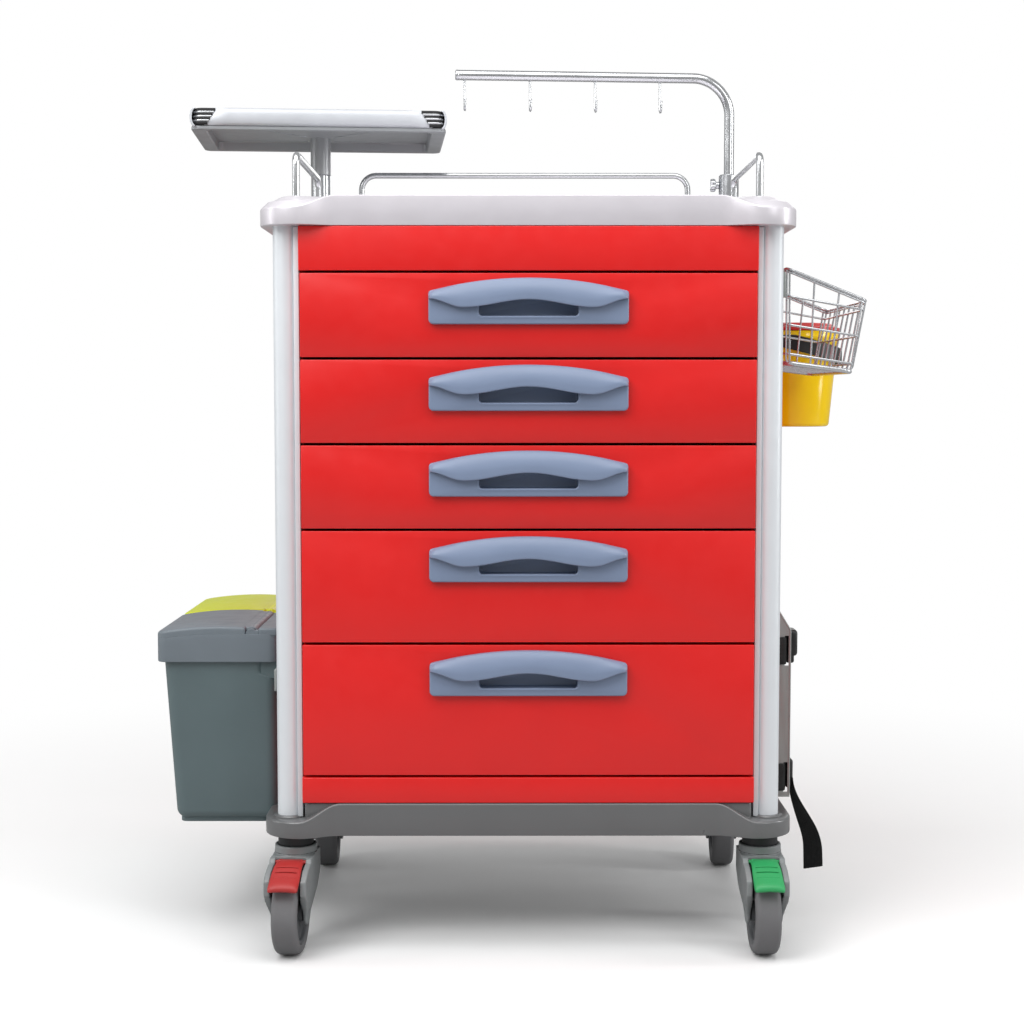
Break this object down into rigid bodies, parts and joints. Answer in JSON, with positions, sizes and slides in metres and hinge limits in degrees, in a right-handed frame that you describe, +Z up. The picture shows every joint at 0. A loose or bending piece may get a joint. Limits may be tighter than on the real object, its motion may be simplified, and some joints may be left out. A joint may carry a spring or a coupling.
{
  "type": "crash cart",
  "caption": "Emergency trolley: drawers in a column-framed cabinet on braked castors, with guard rails, swivel shelf, pole, waste bins, basket, sharps bucket and cylinder holder.",
  "frame": {"origin": "on the floor, under the middle of the cabinet and of the whole cart's outline", "axes": "+X to the user's right as they face the drawers, drawers face and open towards -Y, +Z up"},
  "size_m": [0.8839, 0.5797, 1.1],
  "materials": {
    "tray_plastic": "metallic-flecked satin moulding",
    "frame_steel": "black powder coat",
    "column_aluminium": "satin anodised",
    "body_red": "satin powder coat",
    "runner_steel": "zinc plated",
    "drawer_steel": "grey powder coat",
    "board_plastic": "silver metallic satin moulding",
    "rail_steel": "polished stainless",
    "wire_steel": "bright plated wire",
    "post_steel": "polished stainless",
    "screw_steel": "plated",
    "sleeve_paint": "satin grey",
    "shelf_plastic": "pale grey satin",
    "grip_rubber": "matte black",
    "knob_plastic": "matte black",
    "glide_nylon": "natural nylon",
    "bracket_steel": "satin grey",
    "bucket_yellow": "moulded",
    "bucket_red": "moulded",
    "webbing": "woven polyester webbing",
    "buckle_plastic": "moulded",
    "bin_grey": "fine-textured moulding",
    "bin_lid_grey": "fine-textured moulding",
    "bin_lid_green": "fine-textured moulding",
    "handle_plastic": "slate-blue satin moulding",
    "castor_plastic": "satin grey moulding",
    "castor_tyre": "grey non-marking rubber",
    "castor_hub": "grey nylon",
    "pedal_red": "ribbed moulding",
    "pedal_green": "ribbed moulding"
  },
  "bodies": {
    "cabinet": {"base_tray": "tray_plastic", "base_frame": "frame_steel", "columns": "column_aluminium", "carcass": "body_red", "fascia_panels": "body_red", "cover_panels": "body_red", "runners": "runner_steel", "top_board": "board_plastic", "guard_rails": "rail_steel", "screws": "screw_steel", "shelf_post": "post_steel", "iv_socket": "post_steel", "accessory_brackets": "bracket_steel", "basket": "wire_steel", "sharps_bucket": "bucket_yellow", "sharps_lid": "bucket_red", "cylinder_holder": "bracket_steel", "straps": "webbing", "buckles": "buckle_plastic", "bin_bodies": "bin_grey", "bin_front_rim": "bin_lid_grey", "bin_rear_rim": "bin_lid_green"},
    "drawer_1": {"drawer_1_front": "body_red", "drawer_1_box": "drawer_steel", "drawer_1_handle": "handle_plastic"},
    "drawer_2": {"drawer_2_front": "body_red", "drawer_2_box": "drawer_steel", "drawer_2_handle": "handle_plastic"},
    "drawer_3": {"drawer_3_front": "body_red", "drawer_3_box": "drawer_steel", "drawer_3_handle": "handle_plastic"},
    "drawer_4": {"drawer_4_front": "body_red", "drawer_4_box": "drawer_steel", "drawer_4_handle": "handle_plastic"},
    "drawer_5": {"drawer_5_front": "body_red", "drawer_5_box": "drawer_steel", "drawer_5_handle": "handle_plastic"},
    "castor_front_left": {"castor_front_left_fork": "castor_plastic"},
    "wheel_front_left": {"castor_front_left_tyre": "castor_tyre", "castor_front_left_hub": "castor_hub"},
    "castor_front_right": {"castor_front_right_fork": "castor_plastic"},
    "wheel_front_right": {"castor_front_right_tyre": "castor_tyre", "castor_front_right_hub": "castor_hub"},
    "castor_rear_left": {"castor_rear_left_fork": "castor_plastic"},
    "wheel_rear_left": {"castor_rear_left_tyre": "castor_tyre", "castor_rear_left_hub": "castor_hub"},
    "castor_rear_right": {"castor_rear_right_fork": "castor_plastic"},
    "wheel_rear_right": {"castor_rear_right_tyre": "castor_tyre", "castor_rear_right_hub": "castor_hub"},
    "pedal_left": {"pedal_left": "pedal_red"},
    "pedal_right": {"pedal_right": "pedal_green"},
    "shelf": {"shelf_sleeve": "sleeve_paint", "shelf_tray": "shelf_plastic", "shelf_grips": "grip_rubber"},
    "shelf_clamp": {"shelf_knob": "knob_plastic"},
    "pole_carriage": {"iv_glide": "glide_nylon"},
    "pole": {"iv_pole": "rail_steel"},
    "pole_clamp": {"iv_knob": "knob_plastic"},
    "bin_front_lid": {"bin_front_flap": "bin_lid_grey"},
    "bin_rear_lid": {"bin_rear_flap": "bin_lid_green"}
  },
  "joints": [
    {"name": "drawer_1_slide", "type": "slide", "parent": "cabinet", "child": "drawer_1", "axis": [0, -1, 0], "range_m": [0, 0.28]},
    {"name": "drawer_2_slide", "type": "slide", "parent": "cabinet", "child": "drawer_2", "axis": [0, -1, 0], "range_m": [0, 0.28]},
    {"name": "drawer_3_slide", "type": "slide", "parent": "cabinet", "child": "drawer_3", "axis": [0, -1, 0], "range_m": [0, 0.28]},
    {"name": "drawer_4_slide", "type": "slide", "parent": "cabinet", "child": "drawer_4", "axis": [0, -1, 0], "range_m": [0, 0.28]},
    {"name": "drawer_5_slide", "type": "slide", "parent": "cabinet", "child": "drawer_5", "axis": [0, -1, 0], "range_m": [0, 0.28]},
    {"name": "castor_front_left_swivel", "type": "hinge", "parent": "cabinet", "child": "castor_front_left", "pos_m": [-0.277, -0.195, 0.118], "axis": [0, 0, 1], "continuous": true},
    {"name": "wheel_front_left_roll", "type": "hinge", "parent": "castor_front_left", "child": "wheel_front_left", "pos_m": [-0.27944, -0.22992, 0.05], "axis": [0.9976, -0.0698, 0], "continuous": true},
    {"name": "castor_front_right_swivel", "type": "hinge", "parent": "cabinet", "child": "castor_front_right", "pos_m": [0.277, -0.195, 0.118], "axis": [0, 0, 1], "continuous": true},
    {"name": "wheel_front_right_roll", "type": "hinge", "parent": "castor_front_right", "child": "wheel_front_right", "pos_m": [0.277, -0.23, 0.05], "axis": [1, 0, 0], "continuous": true},
    {"name": "castor_rear_left_swivel", "type": "hinge", "parent": "cabinet", "child": "castor_rear_left", "pos_m": [-0.277, 0.195, 0.118], "axis": [0, 0, 1], "continuous": true},
    {"name": "wheel_rear_left_roll", "type": "hinge", "parent": "castor_rear_left", "child": "wheel_rear_left", "pos_m": [-0.27578, 0.16002, 0.05], "axis": [0.9994, 0.0349, 0], "continuous": true},
    {"name": "castor_rear_right_swivel", "type": "hinge", "parent": "cabinet", "child": "castor_rear_right", "pos_m": [0.277, 0.195, 0.118], "axis": [0, 0, 1], "continuous": true},
    {"name": "wheel_rear_right_roll", "type": "hinge", "parent": "castor_rear_right", "child": "wheel_rear_right", "pos_m": [0.27517, 0.16005, 0.05], "axis": [0.9986, -0.0523, 0], "continuous": true},
    {"name": "pedal_left_press", "type": "hinge", "parent": "castor_front_left", "child": "pedal_left", "pos_m": [-0.27923, -0.22692, 0.1075], "axis": [0.9976, -0.0698, 0], "range_deg": [0, 8]},
    {"name": "pedal_right_press", "type": "hinge", "parent": "castor_front_right", "child": "pedal_right", "pos_m": [0.277, -0.227, 0.1075], "axis": [1, 0, 0], "range_deg": [0, 8]},
    {"name": "shelf_swivel", "type": "hinge", "parent": "cabinet", "child": "shelf", "pos_m": [-0.2835, 0.2, 0.975], "axis": [0, 0, 1], "continuous": true},
    {"name": "shelf_knob_turn", "type": "hinge", "parent": "cabinet", "child": "shelf_clamp", "pos_m": [-0.305, 0.2, 0.906], "axis": [-1, 0, 0], "continuous": true},
    {"name": "pole_raise", "type": "slide", "parent": "cabinet", "child": "pole_carriage", "axis": [0, 0, 1], "range_m": [0, 0.4]},
    {"name": "pole_swivel", "type": "hinge", "parent": "pole_carriage", "child": "pole", "pos_m": [0.2835, 0.2, 0.42], "axis": [0, 0, 1], "continuous": true},
    {"name": "pole_knob_turn", "type": "hinge", "parent": "cabinet", "child": "pole_clamp", "pos_m": [0.26, 0.2, 0.947], "axis": [-1, 0, 0], "continuous": true},
    {"name": "bin_front_flap_hinge", "type": "hinge", "parent": "cabinet", "child": "bin_front_lid", "pos_m": [-0.332, -0.086, 0.37], "axis": [0, 1, 0], "range_deg": [0, 85]},
    {"name": "bin_rear_flap_hinge", "type": "hinge", "parent": "cabinet", "child": "bin_rear_lid", "pos_m": [-0.332, 0.086, 0.37], "axis": [0, 1, 0], "range_deg": [0, 85]}
  ]
}
